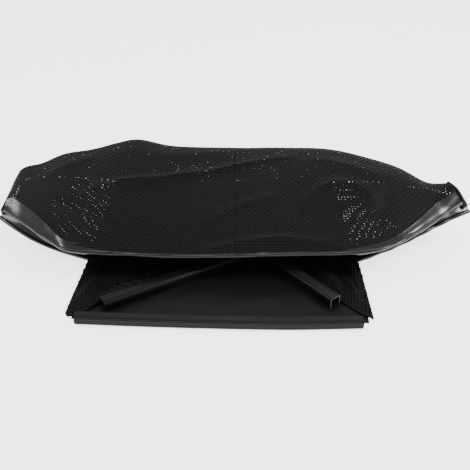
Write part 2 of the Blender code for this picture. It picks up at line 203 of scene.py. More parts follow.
def mesh_object(name, points, quads, finish, smooth=True):
    data = bpy.data.meshes.new(name)
    points = np.asarray(points, dtype=np.float32)
    quads = np.asarray(quads, dtype=np.int32)
    data.vertices.add(len(points))
    data.vertices.foreach_set("co", points.ravel())
    data.loops.add(quads.size)
    data.loops.foreach_set("vertex_index", quads.ravel())
    data.polygons.add(len(quads))
    data.polygons.foreach_set("loop_start", np.arange(0, quads.size, 4, dtype=np.int32))
    data.polygons.foreach_set("use_smooth", np.full(len(quads), smooth))
    data.update(calc_edges=True)
    data.validate()
    made = bpy.data.objects.new(name, data)
    bpy.context.scene.collection.objects.link(made)
    data.materials.append(finish)
    return made


def threads(name, lines, finish, wide=THREAD_WIDE, thick=THREAD_THICK):
    """One mesh of flat oval threads: each line is its points, its surface normals and, where
    the weave is closer, how much wider the thread lies there."""
    ring = [(-0.5, 0.0), (-0.26, 0.5), (0.26, 0.5), (0.5, 0.0), (0.26, -0.5), (-0.26, -0.5)]
    points = []
    quads = []
    base = 0
    for line, normal, *fuller in lines:
        if len(line) < 2:
            continue
        spread = fuller[0][:, None] if fuller else 1.0
        ahead = unit(np.gradient(line, axis=0))
        side = unit(np.cross(ahead, normal))
        up = np.cross(side, ahead)
        rings = np.stack([line + side * a * wide * spread + up * b * thick for a, b in ring], axis=1)
        points.append(rings.reshape(-1, 3))
        n = len(line)
        i = np.arange(n - 1)[:, None]
        j = np.arange(6)[None, :]
        k = (j + 1) % 6
        sides = np.stack([i * 6 + j, i * 6 + k, (i + 1) * 6 + k, (i + 1) * 6 + j], axis=2)
        quads.append(sides.reshape(-1, 4) + base)
        last = (n - 1) * 6
        near_end = [[3, 2, 1, 0], [5, 4, 3, 0]]
        far_end = [[last, last + 1, last + 2, last + 3], [last, last + 3, last + 4, last + 5]]
        quads.append(np.array(near_end + far_end) + base)
        base += n * 6
    return mesh_object(name, world(np.concatenate(points)), np.concatenate(quads), finish)


def grid_object(name, grid, finish, thick=0.0, smooth=True):
    """A cloth surface from a grid of points in mm, with thickness below it."""
    grid = np.asarray(grid)
    rows, cols = grid.shape[:2]
    k = (np.arange(rows - 1)[:, None] * cols + np.arange(cols - 1)[None, :]).ravel()
    quads = np.stack([k, k + 1, k + cols + 1, k + cols], axis=1)
    made = mesh_object(name, world(grid.reshape(-1, 3)), quads, finish, smooth)
    if thick:
        solid = made.modifiers.new("thickness", "SOLIDIFY")
        solid.thickness = thick * MM
        solid.offset = -1.0
        apply_modifiers(made)
        crisp(made.data)
    return made


def crisp(data, degrees=38.0):
    """Smooth shading, kept sharp across hard edges."""
    data.shade_smooth()
    data.set_sharp_from_angle(angle=math.radians(degrees))


def apply_modifiers(made):
    """Bakes the object's modifiers into its mesh."""
    bpy.context.view_layer.update()
    graph = bpy.context.evaluated_depsgraph_get()
    data = bpy.data.meshes.new_from_object(made.evaluated_get(graph))
    made.modifiers.clear()
    made.data = data


def grid_normals(grid):
    along = np.gradient(grid, axis=1)
    back = np.gradient(grid, axis=0)
    return unit(np.cross(along, back))


def swept(name, section, path, finish, smooth=True):
    """A closed section, (across, up) in mm, carried along a path."""
    path = np.asarray(path, dtype=float)
    ahead = unit(np.gradient(path, axis=0))
    right = unit(np.cross(ahead, (0, 0, 1)))
    up = np.cross(right, ahead)
    section = np.asarray(section, dtype=float)
    turn = np.sum(section[:, 0] * np.roll(section[:, 1], -1) - np.roll(section[:, 0], -1) * section[:, 1])
    if turn > 0:
        section = section[::-1]
    n = len(section)
    rings = path[:, None] + right[:, None] * section[None, :, 0:1] + up[:, None] * section[None, :, 1:2]
    points = [tuple(p) for p in world(rings.reshape(-1, 3))]
    faces = []
    for i in range(len(path) - 1):
        for j in range(n):
            k = (j + 1) % n
            faces.append((i * n + j, i * n + k, (i + 1) * n + k, (i + 1) * n + j))
    last = (len(path) - 1) * n
    faces.append(tuple(range(n - 1, -1, -1)))
    faces.append(tuple(range(last, last + n)))
    data = bpy.data.meshes.new(name)
    data.from_pydata(points, [], faces)
    data.update()
    made = bpy.data.objects.new(name, data)
    bpy.context.scene.collection.objects.link(made)
    data.materials.append(finish)
    if smooth:
        crisp(data)
    return made


def tube(name, path, radius, finish, sides=12):
    turns = np.linspace(0, 2 * math.pi, sides, endpoint=False)
    ring = [(radius * math.cos(a), radius * math.sin(a)) for a in turns]
    return swept(name, ring, path, finish)


def rounded(outline, radius, steps=4):
    """The outline with its corners rounded; a corner's own radius is capped by its short sides."""
    p = [np.array(q, dtype=float) for q in outline]
    out = []
    for i, corner in enumerate(p):
        before = p[i - 1] - corner
        after = p[(i + 1) % len(p)] - corner
        cut = min(radius, 0.45 * np.linalg.norm(before), 0.45 * np.linalg.norm(after))
        a = corner + before / np.linalg.norm(before) * cut
        b = corner + after / np.linalg.norm(after) * cut
        for t in np.linspace(0, 1, steps):
            out.append((1 - t) ** 2 * a + 2 * t * (1 - t) * corner + t * t * b)
    return out


# ---------------------------------------------------------------- materials

def new_material(name):
    made = bpy.data.materials.new(name)
    made.use_nodes = True
    tree = made.node_tree
    return made, tree, tree.nodes["Principled BSDF"]


def add_noise(tree, scale, detail=4.0, stretch=(1.0, 1.0, 1.0)):
    place = tree.nodes.new("ShaderNodeTexCoord")
    fit = tree.nodes.new("ShaderNodeMapping")
    fit.inputs["Scale"].default_value = stretch
    noise = tree.nodes.new("ShaderNodeTexNoise")
    noise.inputs["Scale"].default_value = scale
    noise.inputs["Detail"].default_value = detail
    tree.links.new(place.outputs["Object"], fit.inputs["Vector"])
    tree.links.new(fit.outputs["Vector"], noise.inputs["Vector"])
    return noise


def ramp_into(tree, source, target, low, high):
    """Maps a 0-1 value to the range low to high on a float socket."""
    fit = tree.nodes.new("ShaderNodeMapRange")
    fit.inputs["From Min"].default_value = 0.3
    fit.inputs["From Max"].default_value = 0.7
    fit.inputs["To Min"].default_value = low
    fit.inputs["To Max"].default_value = high
    tree.links.new(source, fit.inputs["Value"])
    tree.links.new(fit.outputs["Result"], target)


def mix_colour(tree, source, target, low, high):
    mix = tree.nodes.new("ShaderNodeMix")
    mix.data_type = "RGBA"
    mix.inputs[6].default_value = (*low, 1.0)
    mix.inputs[7].default_value = (*high, 1.0)
    tree.links.new(source, mix.inputs["Factor"])
    tree.links.new(mix.outputs[2], target)


def add_bump(tree, shader, source, distance, strength=1.0):
    bump = tree.nodes.new("ShaderNodeBump")
    bump.inputs["Distance"].default_value = distance
    bump.inputs["Strength"].default_value = strength
    tree.links.new(source, bump.inputs["Height"])
    tree.links.new(bump.outputs["Normal"], shader.inputs["Normal"])


def mesh_cloth():
    made, tree, shader = new_material("mesh_cloth")
    patch = add_noise(tree, 9.0, 3.0)
    base = shader.inputs["Base Color"]
    mix_colour(tree, patch.outputs["Fac"], base, (0.0024, 0.0024, 0.0021), (0.0036, 0.0036, 0.0030))
    fine = add_noise(tree, 900.0, 2.0)
    ramp_into(tree, fine.outputs["Fac"], shader.inputs["Roughness"], 0.46, 0.66)
    shader.inputs["Specular IOR Level"].default_value = 0.13
    return made


def vinyl(name, low, high, rough_low, rough_high, grain, shine):
    made, tree, shader = new_material(name)
    patch = add_noise(tree, 14.0, 4.0)
    base = shader.inputs["Base Color"]
    mix_colour(tree, patch.outputs["Fac"], base, low, high)
    ramp_into(tree, patch.outputs["Fac"], shader.inputs["Roughness"], rough_low, rough_high)
    cells = add_noise(tree, 700.0, 3.0)
    add_bump(tree, shader, cells.outputs["Fac"], grain, 0.6)
    shader.inputs["Specular IOR Level"].default_value = shine
    return made


def channel_plastic():
    made, tree, shader = new_material("channel_plastic")
    patch = add_noise(tree, 30.0, 4.0)
    base = shader.inputs["Base Color"]
    mix_colour(tree, patch.outputs["Fac"], base, (0.0028, 0.0028, 0.0022), (0.0040, 0.0040, 0.0031))
    ramp_into(tree, patch.outputs["Fac"], shader.inputs["Roughness"], 0.34, 0.46)
    shader.inputs["Specular IOR Level"].default_value = 0.15
    fine = add_noise(tree, 500.0, 3.0)
    add_bump(tree, shader, fine.outputs["Fac"], 0.00004, 0.5)
    return made


# The channel's cut end: near black plastic with light specks painted on, painted glints standing in for
# light caught on the cut edge.
def cut_end():
    made, tree, shader = new_material("channel_cut_end_painted_glints")
    patch = add_noise(tree, 380.0, 2.0)
    base = shader.inputs["Base Color"]
    mix_colour(tree, patch.outputs["Fac"], base, (0.006, 0.006, 0.006), (0.16, 0.16, 0.155))
    shader.inputs["Roughness"].default_value = 0.6
    return made


def woven_tape():
    made, tree, shader = new_material("seam_tape")
    patch = add_noise(tree, 40.0, 3.0)
    base = shader.inputs["Base Color"]
    mix_colour(tree, patch.outputs["Fac"], base, (0.010, 0.010, 0.010), (0.016, 0.016, 0.015))
    place = tree.nodes.new("ShaderNodeTexCoord")
    weave = tree.nodes.new("ShaderNodeTexWave")
    weave.inputs["Scale"].default_value = 420.0
    weave.bands_direction = "DIAGONAL"
    tree.links.new(place.outputs["Object"], weave.inputs["Vector"])
    add_bump(tree, shader, weave.outputs["Fac"], 0.0002, 0.7)
    shader.inputs["Roughness"].default_value = 0.55
    return made


def plain(name, colour, roughness):
    made, tree, shader = new_material(name)
    patch = add_noise(tree, 200.0, 2.0)
    base = shader.inputs["Base Color"]
    mix_colour(tree, patch.outputs["Fac"], base, tuple(c * 0.8 for c in colour), colour)
    shader.inputs["Roughness"].default_value = roughness
    return made


MESH = mesh_cloth()
FLOOR_VINYL = vinyl(
    "vinyl_sheet", (0.0036, 0.0037, 0.0042), (0.0048, 0.0049, 0.0055), 0.46, 0.56, 0.00005, 0.13,
)
HEM_VINYL = vinyl("vinyl_hem", (0.0022, 0.0022, 0.0023), (0.0030, 0.0030, 0.0031), 0.20, 0.24, 0.00002, 0.42)
CHANNEL = channel_plastic()
CUT_GLINTS = cut_end()
TAPE = woven_tape()
WELT = plain("welt_cord", (0.005, 0.005, 0.005), 0.34)
THREAD = plain("thread", (0.003, 0.003, 0.003), 0.8)


def finish_piece(made, body=None, nodes=()):
    if body:
        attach(made, body)
    if nodes:
        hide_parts(*nodes)
    return made


# ---------------------------------------------------------------- upper layer

def reach_over(x):
    """How far the mesh laps over the hem: most of the way in the middle, none at the tips."""
    return 0.85 * np.clip((215 - np.abs(x + 15)) / 70, 0, 1)


def profile_marks():
    """Guide points, columns by marks: front edge, over the crown, down the rear wall."""
    marks = []
    for column, rim in zip(UPPER, UPPER_EDGE):
        edge, crown, foot = (np.array(p, dtype=float) for p in column)
        edge = edge + (np.array(rim) - edge) * reach_over(edge[0])
        drop = crown[2] - foot[2]
        reach = foot[1] - crown[1]
        share = min(drop / 85.0, 1.0)
        top = crown + np.array([0, -0.55 * reach, 3.5 * share])
        first = edge + (top - edge) * 0.36 + np.array([0, 0, 4.0 * share])
        second = edge + (top - edge) * 0.70 + np.array([0, 0, 4.5 * share])
        back = crown * 0.55 + foot * 0.45 + np.array([0, 0.20 * reach, 0.05 * drop])
        low = crown * 0.15 + foot * 0.85 + np.array([0, 0.11 * reach, 0.0])
        marks.append([edge, first, second, top, crown, back, low, foot])
    return np.array(marks)


def upper_surface():
    """Columns one pitch apart, each a fine run of points with normals, and its edge points."""
    across = spline(profile_marks(), 30)
    middle = 0.5 * (across[:, 2] + across[:, 3])
    run = run_of(middle)
    count = int(run[-1] / PITCH)
    at = np.linspace(0, run[-1], count + 1)
    shape = across.shape
    flat = across.reshape(shape[0], -1)
    guides = np.stack([np.interp(at, run, flat[:, k]) for k in range(flat.shape[1])], axis=1)
    guides = guides.reshape(len(at), shape[1], 3)
    fine = spline(guides.transpose(1, 0, 2), 22).transpose(1, 0, 2)
    x = fine[:, :, 0]
    y = fine[:, :, 1]
    steps = np.linalg.norm(np.diff(fine, axis=1), axis=2)
    length = np.concatenate([np.zeros((len(at), 1)), np.cumsum(steps, axis=1)], axis=1)
    total = length[:, -1:]
    fade = np.clip(length / 14.0, 0, 1) * np.clip((total - length) / 60.0, 0, 1)
    ends = np.clip(np.arange(len(at)) / 5.0, 0, 1) * np.clip((len(at) - 1 - np.arange(len(at))) / 5.0, 0, 1)
    fade = fade * ends[:, None]
    lift = sum(ridge(x, y, *fold) for fold in UPPER_FOLDS) + 0.9 * waves(x, y, 4)
    fine[:, :, 2] += fade * lift
    normal = unit(np.cross(np.gradient(fine, axis=0), np.gradient(fine, axis=1)))
    return fine, normal


def upper_lines(fine, normal):
    """Warp and weft threads over the upper layer, cut at its edges."""
    count = len(fine)
    runs = np.array([run_of(line) for line in fine])
    start = np.zeros(count)
    for j in range(count):
        stop = 60 if fine[j, 59, 1] > ROW_ZERO else None
        start[j] = np.interp(ROW_ZERO, fine[j, :stop, 1], runs[j, :stop])
    low = -start
    high = runs[:, -1] - start
    warp = []
    for j in range(count):
        k = np.arange(math.ceil(low[j] / PITCH + 0.05), math.floor(high[j] / PITCH - 0.05) + 1)
        at = np.concatenate([[low[j]], k * PITCH, [high[j]]]) + start[j]
        weave = np.concatenate([[0], np.where((k + j) % 2 == 0, 1.0, -1.0), [0]]) * 0.28
        p = np.stack([np.interp(at, runs[j], fine[j, :, c]) for c in range(3)], axis=1)
        n = unit(np.stack([np.interp(at, runs[j], normal[j, :, c]) for c in range(3)], axis=1))
        spread = np.interp(at, runs[j, SEAM_STEP] + np.array([-20.0, 6.0]), [1.0, CLOSER])
        warp.append((j, p + n * weave[:, None], n, spread * WARP_SHARE))
    weft = []
    for k in range(math.ceil(low.min() / PITCH), math.floor(high.max() / PITCH) + 1):
        a = k * PITCH
        inside = (a > low) & (a < high)
        j = 0
        while j < count:
            if not inside[j]:
                j += 1
                continue
            first = j
            while j < count and inside[j]:
                j += 1
            cols = np.arange(first, j)
            p = np.array([[np.interp(a + start[c], runs[c], fine[c, :, q]) for q in range(3)] for c in cols])
            n = unit(np.array([[np.interp(a + start[c], runs[c], normal[c, :, q]) for q in range(3)]
                               for c in cols]))
            weave = np.where((k + cols) % 2 == 0, -1.0, 1.0) * 0.28
            p = p + n * weave[:, None]
            past = np.array([a + start[c] - runs[c, SEAM_STEP] for c in cols])
            spread = np.interp(past, [-20.0, 6.0], [1.0, CLOSER])
            if len(cols) > 1:
                if first > 0:
                    share = edge_share(a, low, high, first, first - 1)
                    p = np.concatenate([[p[0] + (p[0] - p[1]) * share], p])
                    n = np.concatenate([[n[0]], n])
                    spread = np.concatenate([[spread[0]], spread])
                    cols = np.concatenate([[first - share], cols])
                if j < count:
                    share = edge_share(a, low, high, j - 1, j)
                    p = np.concatenate([p, [p[-1] + (p[-1] - p[-2]) * share]])
                    n = np.concatenate([n, [n[-1]]])
                    spread = np.concatenate([spread, [spread[-1]]])
                    cols = np.concatenate([cols, [j - 1 + share]])
                weft.append((cols, p, n, np.minimum(spread * WEFT_SHARE, 1.4)))
    return warp, weft


def edge_share(a, low, high, inner, outer):
    """How far past the inner column the cloth's edge crosses this weft line."""
    if a <= low[outer]:
        return float(np.clip((a - low[inner]) / max(low[outer] - low[inner], 1e-6), 0.02, 0.98))
    return float(np.clip((high[inner] - a) / max(high[inner] - high[outer], 1e-6), 0.02, 0.98))


def upper_mesh():
    fine, normal = upper_surface()
    warp, weft = upper_lines(fine, normal)
    half = int(np.argmin(np.abs(fine[:, 40, 0])))
    tips = {"left": -1, "right": 1}
    made = {}
    for tag in tips:
        if tag == "left":
            lines = [(p, n, w) for j, p, n, w in warp if j <= half]
            for cols, p, n, w in weft:
                keep = cols <= half
                if keep.sum() > 1:
                    lines.append((p[keep], n[keep], w[keep]))
        else:
            lines = [(p, n, w) for j, p, n, w in warp if j > half]
            for cols, p, n, w in weft:
                keep = cols >= half
                if keep.sum() > 1:
                    lines.append((p[keep], n[keep], w[keep]))
        made[tag] = threads(tag + "_upper_net", lines, MESH)
    return made, fine, normal


def edge_grid(edge, inner, inner_normal, bead_radius, lining):
    """Hem section rows from on top of the mesh, over the welt and back under it."""
    toward = unit(edge - inner)
    under = np.cross(toward, unit(np.gradient(edge, axis=0)))
    under = np.where(under[:, 2:3] > 0, -under, under)
    over = -under
    r = bead_radius + 0.75
    rows = [
        inner - toward * 3.2 + inner_normal * 0.9,
        inner + over * 0.9,
        inner * 0.66 + edge * 0.34 + over * 1.25,
        inner * 0.33 + edge * 0.67 + over * 1.2,
    ]
    centre = edge - toward * bead_radius * 0.2
    rows.append(centre - toward * (bead_radius + 1.2) + over * 0.75)
    for turn in np.linspace(110, -110, 9):
        angle = math.radians(turn)
        rows.append(centre + toward * (r * math.cos(angle)) + over * (r * math.sin(angle)))
    rows.append(centre - toward * (bead_radius + 1.4) + under * 1.0)
    # the lining hangs clear of the mesh that laps over it in the middle
    drop = 1.8 * reach_over(edge[:, 0])[:, None]
    rows.append(edge - toward * lining * 0.6 + under * (1.6 + drop))
    rows.append(edge - toward * lining + under * (1.9 + drop * 1.5))
    return np.array(rows)[::-1]


def split_halves(grid, x_cut):
    """The grid's columns left and right of x_cut, sharing the cut column."""
    cut = int(np.argmin(np.abs(grid[grid.shape[0] // 2, :, 0] - x_cut)))
    return grid[:, :cut + 1], grid[:, cut:]


def ripple(grid, tall, length, seed):
    """Slight waviness along a hem."""
    rng = np.random.default_rng(seed)
    run = run_of(grid[grid.shape[0] // 2])
    total = np.zeros(len(run))
    for _ in range(5):
        total += np.sin(run * 2 * math.pi / rng.uniform(length * 0.6, length * 1.8) + rng.uniform(0, 6.28))
    grid = grid.copy()
    grid += grid_normals(grid) * (total * tall / 3.0)[None, :, None]
    return grid


def blend_upper(made):
    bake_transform(made)


def upper_layer():
    nets, fine, normal = upper_mesh()
    for tag, net in nets.items():
        blend_upper(net)
    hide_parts("upper_mesh", "rear_mesh")
    count = 360
    inner = resample(fine[:, 0], count)
    inner_normal = unit(resample(normal[:, 1], count))
    edge = resample(spline(UPPER_EDGE, 30), count)
    # match the two edges point for point along the mouth
    edge_run = run_of(spline(UPPER_EDGE, 30))
    line = spline(UPPER_EDGE, 30)
    index = spline([[i, 0, 0] for i in range(len(UPPER))], 30)[:, 0]
    inner_line = spline([c[0] for c in UPPER], 30)
    at = np.interp(np.linspace(0, edge_run[-1], count), edge_run, index)
    edge = np.stack([np.interp(at, index, line[:, k]) for k in range(3)], axis=1)
    inner = np.stack([np.interp(at, index, inner_line[:, k]) for k in range(3)], axis=1)
    inner = inner + (edge - inner) * reach_over(edge[:, 0])[:, None]
    grid = ripple(edge_grid(edge, inner, inner_normal, 2.0, 15.0), 0.5, 60, 7)
    welt = edge - unit(edge - inner) * 0.4
    for tag, part in zip(("left", "right"), split_halves(grid, 0.0)):
        hem = grid_object(tag + "_upper_hem", part, HEM_VINYL, 0.7)
        blend_upper(hem)
        keep = welt[:, 0] <= 0.5 if tag == "left" else welt[:, 0] >= -2.0
        bead = tube(tag + "_upper_welt", welt[keep], 1.9, WELT)
        blend_upper(bead)
        seam = part[-2] * 0.45 + part[-3] * 0.55 + inner_normal[:1] * 0.2
        row = stitches(tag + "_upper_stitches", seam, part)
        blend_upper(row)
    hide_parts("upper_hem")
    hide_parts("upper_bead")
    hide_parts("upper_hem_stitches")
    return nets


def stitches(name, seam, grid=None, normal=None, long=3.4, gap=1.3):
    """Separate lockstitches along a seam, each a short bowed thread."""
    if normal is None:
        normal = resample(grid_normals(grid)[-3], len(seam))
    run = run_of(seam)
    lines = []
    at = 3.0
    while at + long < run[-1] - 3.0:
        t = at + np.linspace(0, long, 5)
        p = np.stack([np.interp(t, run, seam[:, k]) for k in range(3)], axis=1)
        n = unit(np.stack([np.interp(t, run, normal[:, k]) for k in range(3)], axis=1))
        bow = np.array([-0.35, 0.18, 0.3, 0.18, -0.35])[:, None]
        lines.append((p + n * bow, n))
        at += long + gap
    made = threads(name, lines, THREAD, 0.6, 0.5)
    return made


# ---------------------------------------------------------------- flat nets

def polygon_spans(line_at, axis, outline):
    """Where a line of constant X or Y runs inside the outline."""
    other = 1 - axis
    cuts = []
    n = len(outline)
    for i in range(n):
        a = outline[i]
        b = outline[(i + 1) % n]
        if (a[axis] - line_at) * (b[axis] - line_at) < 0:
            t = (line_at - a[axis]) / (b[axis] - a[axis])
            cuts.append(a[other] + (b[other] - a[other]) * t)
    cuts.sort()
    return [(cuts[i], cuts[i + 1]) for i in range(0, len(cuts) - 1, 2)]


def net_lines(outline, height, turn=0.0, shift=0.0, pitch=PITCH):
    """Threads of a mesh laid over a height, inside an outline, its weave turned by an angle
    and shifted by part of a pitch."""
    c = math.cos(turn)
    s = math.sin(turn)
    there = np.array([[c, s], [-s, c]])
    local = np.asarray(outline, dtype=float)[:, :2] @ there.T
    lines = []
    low = local.min(axis=0)
    high = local.max(axis=0)
    for axis in (0, 1):
        other = 1 - axis
        for i in range(math.ceil(low[axis] / pitch), math.floor(high[axis] / pitch) + 1):
            for a, b in polygon_spans((i + shift) * pitch, axis, local):
                k = np.arange(math.ceil(a / pitch + 0.05), math.floor(b / pitch - 0.05) + 1)
                along = np.concatenate([[a], k * pitch, [b]])
                if b - a < 1.5:
                    continue
                flip = np.concatenate([[0], np.where((k + i) % 2 == 0, 1.0, -1.0), [0]]) * 0.25
                place = np.zeros((len(along), 2))
                place[:, axis] = (i + shift) * pitch
                place[:, other] = along
                xy = place @ there
                p = np.column_stack([xy, height(xy[:, 0], xy[:, 1])])
                step = 0.6
                dx = (height(xy[:, 0] + step, xy[:, 1]) - height(xy[:, 0] - step, xy[:, 1])) / (2 * step)
                dy = (height(xy[:, 0], xy[:, 1] + step) - height(xy[:, 0], xy[:, 1] - step)) / (2 * step)
                n = unit(np.column_stack([-dx, -dy, np.ones(len(dx))]))
                sign = 1.0 if axis == 0 else -1.0
                lines.append((p + n * (flip * sign)[:, None], n))
    return lines


def selvedge(outline, height, inset=1.6):
    """The thread that runs round a net just inside its outline."""
    loop = np.array(list(outline) + [outline[0]], dtype=float)
    middle = loop[:-1].mean(axis=0)
    xy = resample(loop, 160)
    xy = xy + unit(middle - xy) * inset
    p = np.column_stack([xy, height(xy[:, 0], xy[:, 1])])
    return [(p, np.tile([0.0, 0.0, 1.0], (len(p), 1)))]


def beside(foot, heading, across, along):
    ahead = np.array([math.cos(heading), math.sin(heading)])
    right = np.array([math.sin(heading), -math.cos(heading)])
    return tuple(np.array(foot[:2]) + ahead * along + right * across)


def gussets():
    far = SIDE_WIDE / 2 + 1.4
    left = [(-214.5, 22), (-205, 18), (-198, 24), beside(LEFT_FOOT, LEFT_HEADING, -far, -2)]
    left += [beside(LEFT_FOOT, LEFT_HEADING, -far, d) for d in (60, 125)]
    left += [(-67, 175), (-76, 240), (-97, 299), (-206, 299), (-207.5, 200), (-210, 120), (-212.5, 70)]
    right = [(173, 13), (160.0, 25), beside(RIGHT_FOOT, RIGHT_HEADING, far + 1, 1)]
    right += [beside(RIGHT_FOOT, RIGHT_HEADING, far, d) for d in (50, 105)]
    right += [(60, 190), (64, 240), (74, 299), (168, 299), (171, 200), (174.5, 120), (173.5, 70)]

    left_folds = [
        ([(-192, 38), (-179, 52), (-159, 72), (-136, 84), (-114, 92), (-100, 100)], 4.6, 9.0),
        ([(-206, 40), (-198, 70), (-186, 104)], 7.0, 3.0),
        ([(-120, 104), (-112, 116), (-96, 122)], 4.5, 6.0),
        ([(-168, 84), (-150, 104), (-140, 130)], 8.0, 2.6),
    ]
    right_folds = [
        ([(150, 50), (143, 68), (129, 100), (112, 124), (104, 140)], 4.8, 8.5),
        ([(160, 40), (156, 72), (146, 108)], 5.0, 5.0),
        ([(166, 60), (163, 100), (158, 140)], 6.0, 2.6),
    ]

    def left_height(x, y):
        return 3.4 + sum(ridge(x, y, *fold) for fold in left_folds) + 0.5 * waves(x, y, 11) + 0.5

    def right_height(x, y):
        return 3.4 + sum(ridge(x, y, *fold) for fold in right_folds) + 0.5 * waves(x, y, 12) + 0.5

    def under(height):
        return lambda x, y: height(x, y) - 1.1

    # each wall is taken to be folded double, so a second layer lies under the first
    lines = net_lines(left, left_height, math.radians(7)) + selvedge(left, left_height)
    lines += net_lines(left, under(left_height), math.radians(7), 0.5)
    one = threads("left_gusset_net", lines, MESH)
    lines = net_lines(right, right_height, math.radians(-8)) + selvedge(right, right_height)
    lines += net_lines(right, under(right_height), math.radians(-8), 0.5)
    two = threads("right_gusset_net", lines, MESH)
    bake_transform(one)
    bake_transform(two)
    finish_piece(one, None, ["left_gusset"])
    finish_piece(two, None, ["right_gusset"])
    return one, two


# ---------------------------------------------------------------- lower layer

def coons(front, back, left, right):
    """A patch between four edges already sampled to matching counts."""
    rows = len(left)
    cols = len(front)
    v = np.linspace(0, 1, rows)[:, None, None]
    u = np.linspace(0, 1, cols)[None, :, None]
    along = (1 - v) * front[None] + v * back[None]
    over = (1 - u) * left[:, None] + u * right[:, None]
    corner = (1 - v) * ((1 - u) * front[0] + u * front[-1]) + v * ((1 - u) * back[0] + u * back[-1])
    return along + over - corner


def patch_lines(grid, pitch=PITCH):
    """Threads along both ways of a patch."""
    normal = grid_normals(grid)
    lines = []
    for turn in (0, 1):
        g = grid if turn == 0 else grid.transpose(1, 0, 2)
        n = normal if turn == 0 else normal.transpose(1, 0, 2)
        width = np.mean(np.linalg.norm(g[-1] - g[0], axis=1))
        count = max(int(width / pitch), 2)
        long = np.mean([run_of(r)[-1] for r in g])
        steps = max(int(long / pitch), 2)
        for i in range(count + 1):
            at = i / count * (len(g) - 1)
            a = min(int(at), len(g) - 2)
            t = at - a
            p = resample(g[a] * (1 - t) + g[a + 1] * t, steps + 1)
            m = unit(resample(n[a] * (1 - t) + n[a + 1] * t, steps + 1))
            flip = np.where((np.arange(steps + 1) + i) % 2 == 0, 1.0, -1.0) * 0.25 * (1 if turn == 0 else -1)
            spread = np.full(len(p), WEFT_SHARE if turn == 0 else WARP_SHARE)
            lines.append((p + m * flip[:, None], m, spread))
    return lines


def lower_side(tag, lip, back, outer, inner):
    """Hem, welt, mesh and stitching of one lower lip."""
    edge = smooth_line(lip, 120)
    ahead = unit(np.gradient(edge, axis=0))
    level = np.stack([-ahead[:, 1], ahead[:, 0], np.zeros(len(edge))], axis=1)
    if tag == "right":
        level = -level
    lean = np.interp(np.linspace(0, 1, len(edge)), [0, 0.35, 0.85, 1], [0.5, 1.1, 1.0, 0.3])
    level = level + np.array([0.0, 0.0, 1.0]) * lean[:, None]
    seam = edge + unit(level) * 20.0
    normal = np.tile([0.0, 0.0, 1.0], (len(edge), 1))
    grid = edge_grid(edge, seam, normal, 2.0, 14.0)
    order = slice(None) if tag == "left" else slice(None, None, -1)
    grid = ripple(grid[:, order], 0.6, 45, 21 if tag == "left" else 22)
    hem = grid_object(tag + "_lower_lip", grid, HEM_VINYL, 0.7)
    finish_piece(hem, "base", [tag + "_lower_hem"])
    bead = tube(tag + "_lower_welt", edge + level * 0.4, 1.9, WELT)
    finish_piece(bead, "base", [tag + "_lower_bead"])
    line = (grid[-2] * 0.5 + grid[-3] * 0.5)
    row = stitches(tag + "_lower_seam", line, grid)
    finish_piece(row, "base", [tag + "_lower_stitches"])
    front = resample(seam - level * 3.0, 40)[order]
    if tag == "left":
        patch = coons(front, smooth_line(back, 40), smooth_line(outer, 50), smooth_line(inner, 50))
    else:
        patch = coons(front, smooth_line(back, 40), smooth_line(inner, 50), smooth_line(outer, 50))
    patch = patch + np.array([0, 0, -1.0])
    x = patch[:, :, 0]
    y = patch[:, :, 1]
    rim = np.minimum(np.linspace(0, 1, 50), np.linspace(1, 0, 50))[:, None] * 2
    patch[:, :, 2] += rim * (0.8 * waves(x, y, 31) + 0.4)
    net = threads(tag + "_lower_net", patch_lines(patch), MESH, THREAD_WIDE)
    finish_piece(net, "base", [tag + "_lower_mesh"])
    return net, hem


def lower_layer():
    feet = [np.array(c[2], dtype=float) for c in UPPER]
    left_back = [p + (0.8, -0.8, -0.6) for p in feet[:6]]
    left_back[-1] = np.array([-196.0, 390, 3.4])
    left = lower_side("left", LEFT_LIP, left_back, [(-330, 211, 43), (-333, 250, 46), left_back[0]],
                      [(-201, 154, 13.0), (-197, 230, 6.0), (-196, 310, 4.8), left_back[-1]])
    right_back = [p + (-0.8, -0.8, -0.6) for p in feet[10:]]
    right_back[0] = np.array([158.0, 388, 3.4])
    right = lower_side("right", RIGHT_LIP, right_back, [(332, 224, 47), (326, 234, 50), right_back[-1]],
                       [(165, 153, 13.0), (159, 230, 6.0), (158, 310, 4.8), right_back[0]])
    return left, right


# ---------------------------------------------------------------- floor, channels, tapes

def floor_sheet():
    """The vinyl floor, its front edge bowed with the front channel and tucked behind it."""
    cols = 150
    bow = smooth_line(FRONT_LINE, cols)
    front = np.column_stack([
        np.linspace(-206.5, 168, cols), bow[:, 1] + FRONT_DEEP + 1.0, np.full(cols, FLOOR_TOP),
    ])
    grid = []
    for t in np.linspace(0, 1, 130):
        row = front.copy()
        row[:, 1] = front[:, 1] * (1 - t) + 391.5 * t
        grid.append(row)
    grid = np.array(grid)
    x = grid[:, :, 0]
    y = grid[:, :, 1]
    soft = 0.45 * (waves(x, y, 3) + 1.0)
    soft += ridge(x, y, [(-20, 46), (40, 56), (78, 84)], 16, 1.5) + ridge(
        x, y, [(52, 30), (46, 52), (24, 70)], 9, 0.9)
    soft += ridge(x, y, [(-120, 40), (-60, 60), (10, 100)], 22, 1.2)
    edge = np.clip((y - y[0]) / 14, 0, 1) * np.clip((x + 206.5) / 14, 0, 1) * np.clip((168 - x) / 14, 0, 1)
    grid[:, :, 2] = 1.1 + soft * edge
    made = grid_object("vinyl_floor", grid, FLOOR_VINYL, 1.0)
    finish_piece(made, "base", ["floor_panel"])
    return made


